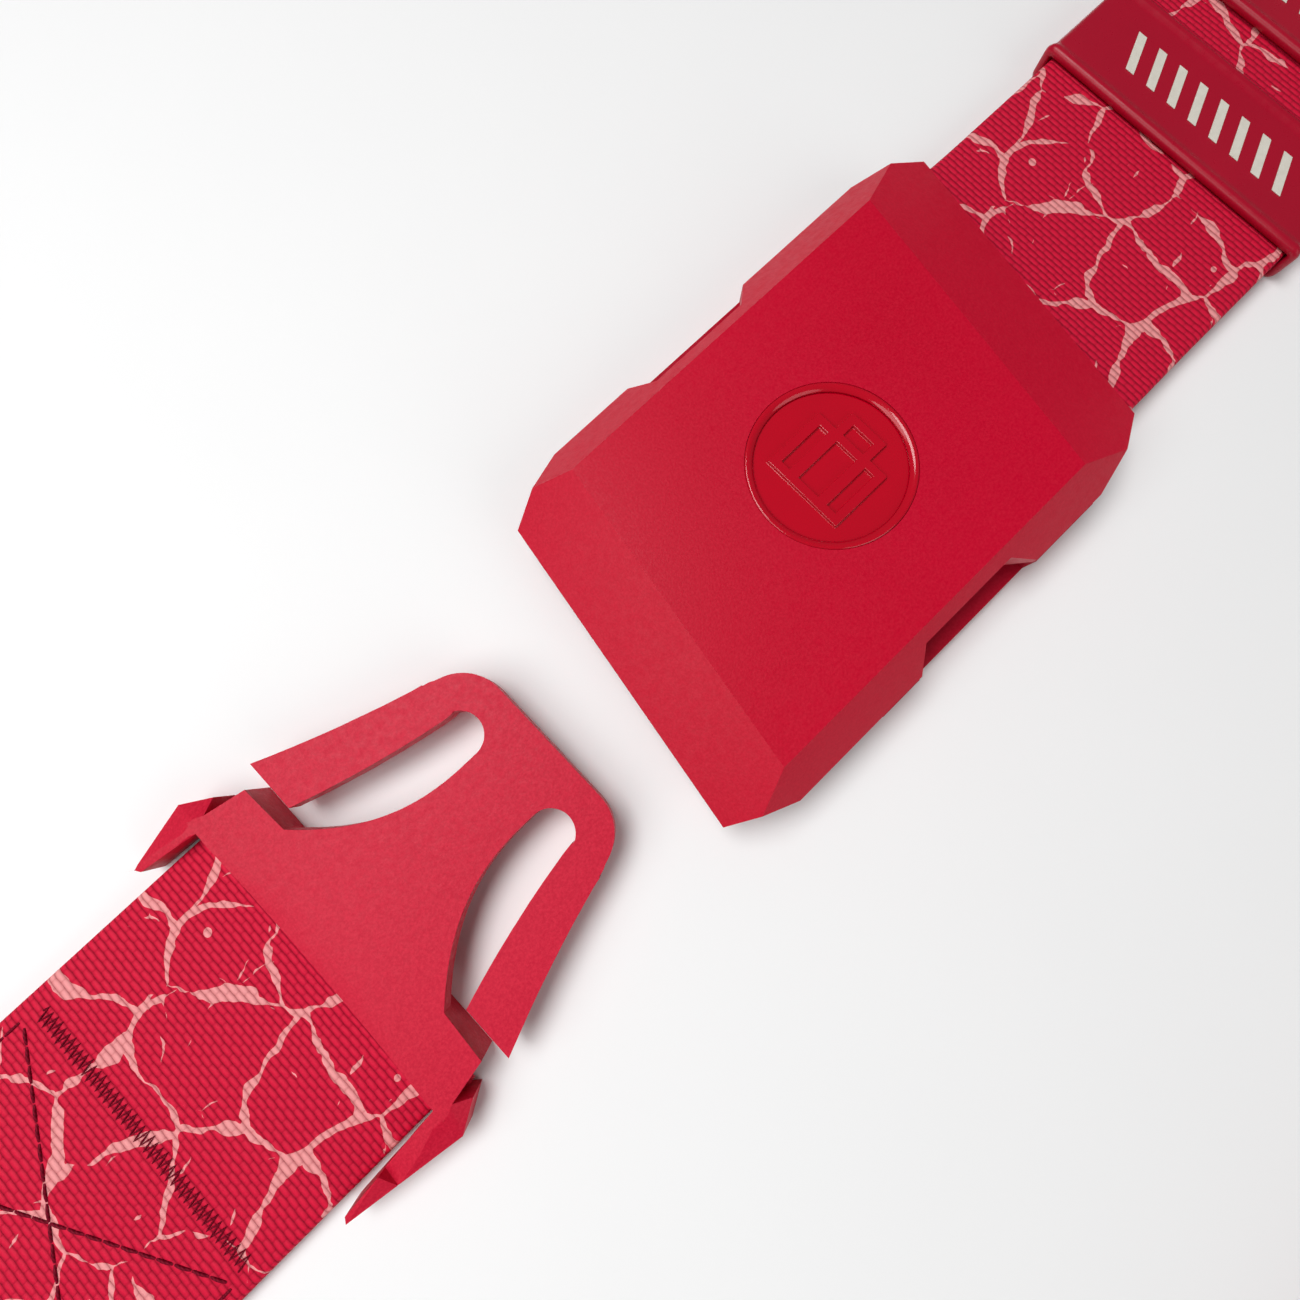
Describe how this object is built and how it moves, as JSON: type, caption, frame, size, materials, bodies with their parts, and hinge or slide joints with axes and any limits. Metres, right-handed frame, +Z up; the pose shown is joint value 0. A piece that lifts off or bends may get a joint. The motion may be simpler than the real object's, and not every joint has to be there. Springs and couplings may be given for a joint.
{
  "type": "luggage strap",
  "caption": "Flat webbing strap with a slanted side-release buckle, adjuster bars and sliding keepers, laid out open.",
  "frame": {"origin": "on the underside of the housing's base, under the middle of the round badge", "axes": "+X along the strap from the tongue to the housing, +Z up off the surface the strap lies on, +Y away from the side where the strap's loop lies"},
  "size_m": [0.47, 0.2203, 0.0135],
  "materials": {
    "housing_red": "satin red plastic with a fine grain",
    "base_red": "satin red plastic",
    "badge_red": "polished",
    "bar_steel": "plain",
    "webbing_red": "ribbed webbing with a pale crackle print",
    "tongue_red": "grained red plastic",
    "thread": "dark red thread",
    "keeper_rubber": "smooth dark red rubber"
  },
  "bodies": {
    "housing": {"housing_cover": "housing_red", "housing_base": "base_red", "badge_disc": "badge_red", "adjuster_bar": "bar_steel", "friction_bar": "bar_steel", "webbing_housing_run": "webbing_red", "webbing_tail": "webbing_red", "webbing_right_run": "webbing_red", "webbing_return_run": "webbing_red", "webbing_hank": "webbing_red", "hank_tie": "keeper_rubber"},
    "tongue": {"tongue": "tongue_red", "webbing_tongue_run": "webbing_red", "webbing_sewn_flap": "webbing_red", "webbing_left_run": "webbing_red", "webbing_left_return": "webbing_red", "zigzag_stitching": "thread", "box_stitching": "thread"},
    "arm_left": {"arm_left": "tongue_red"},
    "arm_right": {"arm_right": "tongue_red"},
    "keeper_front": {"keeper_front": "keeper_rubber"},
    "keeper_rear": {"keeper_rear": "keeper_rubber"}
  },
  "joints": [
    {"name": "buckle_close", "type": "slide", "parent": "housing", "child": "tongue", "axis": [1, 0, 0], "range_m": [0, 0.071]},
    {"name": "arm_left_press", "type": "hinge", "parent": "tongue", "child": "arm_left", "pos_m": [-0.0625, 0.0153, 0.005], "axis": [0, 0, 1], "range_deg": [0, 9], "stiffness_Nm_per_rad": 0.05},
    {"name": "arm_right_press", "type": "hinge", "parent": "tongue", "child": "arm_right", "pos_m": [-0.0625, -0.0153, 0.005], "axis": [0, 0, -1], "range_deg": [0, 9], "stiffness_Nm_per_rad": 0.05},
    {"name": "keeper_front_slide", "type": "slide", "parent": "housing", "child": "keeper_front", "axis": [1, 0, 0], "range_m": [-0.02, 0.004]},
    {"name": "keeper_rear_slide", "type": "slide", "parent": "housing", "child": "keeper_rear", "axis": [1, 0, 0], "range_m": [-0.004, 0.02]}
  ]
}
